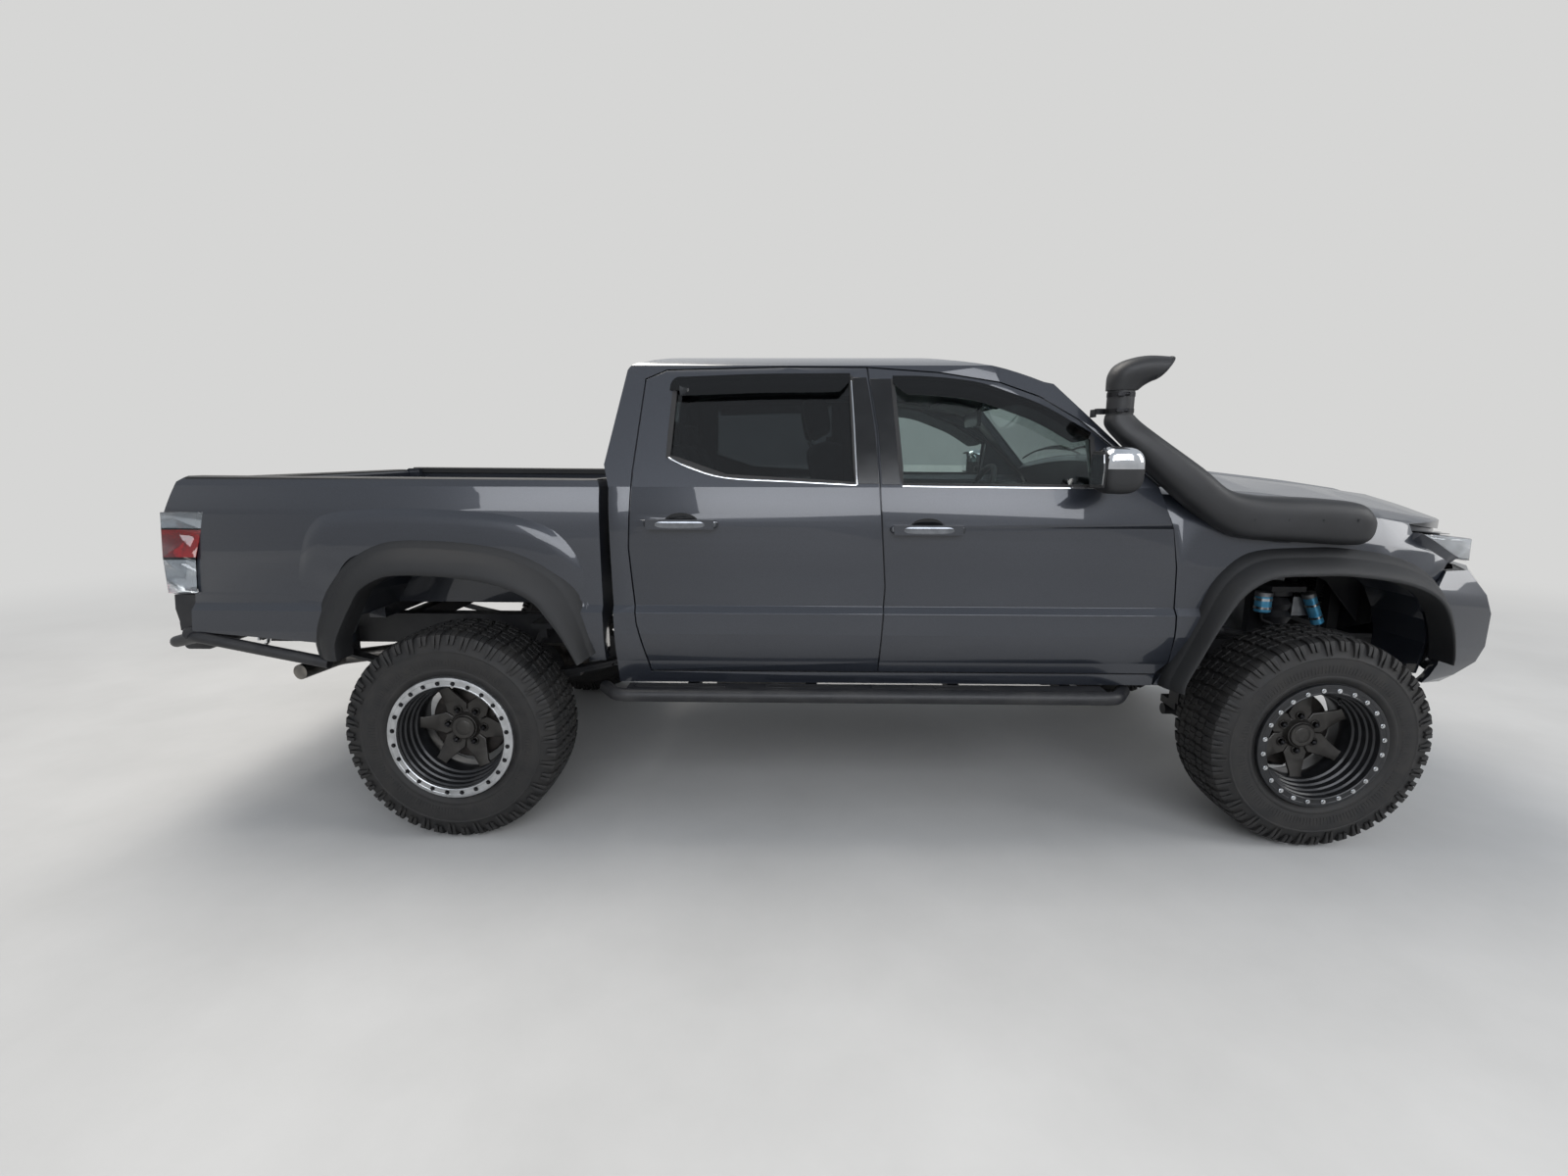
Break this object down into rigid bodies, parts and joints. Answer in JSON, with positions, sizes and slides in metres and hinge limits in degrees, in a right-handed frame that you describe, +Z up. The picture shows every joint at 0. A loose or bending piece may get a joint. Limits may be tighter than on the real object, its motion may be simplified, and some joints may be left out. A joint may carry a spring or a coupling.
{
  "type": "lifted off-road double-cab pickup truck",
  "caption": "Lifted double-cab pickup truck with a short bed, snorkel, arch flares, rock sliders, bead-lock style wheels and a tube rear bumper; wheels, steering, doors, hood and tailgate move.",
  "frame": {"origin": "on the ground under the middle of the overall box", "axes": "+X forward, +Y to the truck's left, +Z up"},
  "size_m": [5.368, 2.15, 1.8509],
  "materials": {
    "body_paint": "metallic clear coat",
    "black_plastic": "textured",
    "frame_black": "satin powder coat",
    "glass": "tinted",
    "lamp_red": "clear lens",
    "lamp_clear": "clear lens",
    "cast_metal": "as cast",
    "exhaust_steel": "dull",
    "trim": "grained",
    "seat_fabric": "woven",
    "rim_metal": "satin black",
    "tyre": "matte"
  },
  "bodies": {
    "body": {"frame": "frame_black", "cab": "body_paint", "cab_glass": "glass", "bed": "body_paint", "tail_lamps": "lamp_red", "front_fenders": "body_paint", "front_bumper": "body_paint", "grille": "black_plastic", "headlamps": "lamp_clear", "flares": "black_plastic", "rear_axle": "frame_black", "rear_suspension": "frame_black", "front_suspension": "frame_black", "engine": "cast_metal", "driveline": "cast_metal", "exhaust": "exhaust_steel", "fuel_tank": "black_plastic", "dashboard": "trim", "seats": "seat_fabric", "steering_wheel": "trim", "sliders": "frame_black", "rear_bumper": "frame_black", "snorkel": "black_plastic"},
    "hood": {"hood": "body_paint"},
    "tailgate": {"tailgate": "body_paint"},
    "door_front_right": {"door_front_right": "body_paint", "glass_front_right": "glass", "mirror_right": "black_plastic"},
    "door_front_left": {"door_front_left": "body_paint", "glass_front_left": "glass", "mirror_left": "black_plastic"},
    "door_rear_right": {"door_rear_right": "body_paint", "glass_rear_right": "glass"},
    "door_rear_left": {"door_rear_left": "body_paint", "glass_rear_left": "glass"},
    "knuckle_right": {"knuckle_right": "cast_metal"},
    "knuckle_left": {"knuckle_left": "cast_metal"},
    "wheel_front_right": {"rim_front_right": "rim_metal", "tyre_front_right": "tyre"},
    "wheel_front_left": {"rim_front_left": "rim_metal", "tyre_front_left": "tyre"},
    "wheel_rear_right": {"rim_rear_right": "rim_metal", "tyre_rear_right": "tyre"},
    "wheel_rear_left": {"rim_rear_left": "rim_metal", "tyre_rear_left": "tyre"}
  },
  "joints": [
    {"name": "steer_left", "type": "hinge", "parent": "body", "child": "knuckle_left", "pos_m": [1.7775, 0.748, 0.3], "axis": [0, -0.1844, 0.9828], "range_deg": [-30, 30]},
    {"name": "steer_right", "type": "hinge", "parent": "body", "child": "knuckle_right", "pos_m": [1.7775, -0.748, 0.3], "axis": [0, 0.1844, 0.9828], "range_deg": [-30, 30]},
    {"name": "spin_front_left", "type": "hinge", "parent": "knuckle_left", "child": "wheel_front_left", "pos_m": [1.7775, 0.8615, 0.412], "axis": [0, 1, 0], "continuous": true},
    {"name": "spin_front_right", "type": "hinge", "parent": "knuckle_right", "child": "wheel_front_right", "pos_m": [1.7775, -0.8615, 0.412], "axis": [0, 1, 0], "continuous": true},
    {"name": "spin_rear_left", "type": "hinge", "parent": "body", "child": "wheel_rear_left", "pos_m": [-1.4575, 0.8615, 0.412], "axis": [0, 1, 0], "continuous": true},
    {"name": "spin_rear_right", "type": "hinge", "parent": "body", "child": "wheel_rear_right", "pos_m": [-1.4575, -0.8615, 0.412], "axis": [0, 1, 0], "continuous": true},
    {"name": "door_front_right_hinge", "type": "hinge", "parent": "body", "child": "door_front_right", "pos_m": [1.241, -0.915, 0.95], "axis": [0, 0, 1], "range_deg": [0, 65]},
    {"name": "door_front_left_hinge", "type": "hinge", "parent": "body", "child": "door_front_left", "pos_m": [1.241, 0.915, 0.95], "axis": [0, 0, -1], "range_deg": [0, 65]},
    {"name": "door_rear_right_hinge", "type": "hinge", "parent": "body", "child": "door_rear_right", "pos_m": [0.166, -0.915, 0.95], "axis": [0, 0, 1], "range_deg": [0, 65]},
    {"name": "door_rear_left_hinge", "type": "hinge", "parent": "body", "child": "door_rear_left", "pos_m": [0.166, 0.915, 0.95], "axis": [0, 0, -1], "range_deg": [0, 65]},
    {"name": "hood_hinge", "type": "hinge", "parent": "body", "child": "hood", "pos_m": [1.275, 0, 1.331], "axis": [0, -1, 0], "range_deg": [0, 50]},
    {"name": "tailgate_hinge", "type": "hinge", "parent": "body", "child": "tailgate", "pos_m": [-2.49, 0, 0.955], "axis": [0, -1, 0], "range_deg": [0, 90]}
  ],
  "couplings": [
    {"joint": "steer_right", "follows": "steer_left", "ratio": 1}
  ]
}
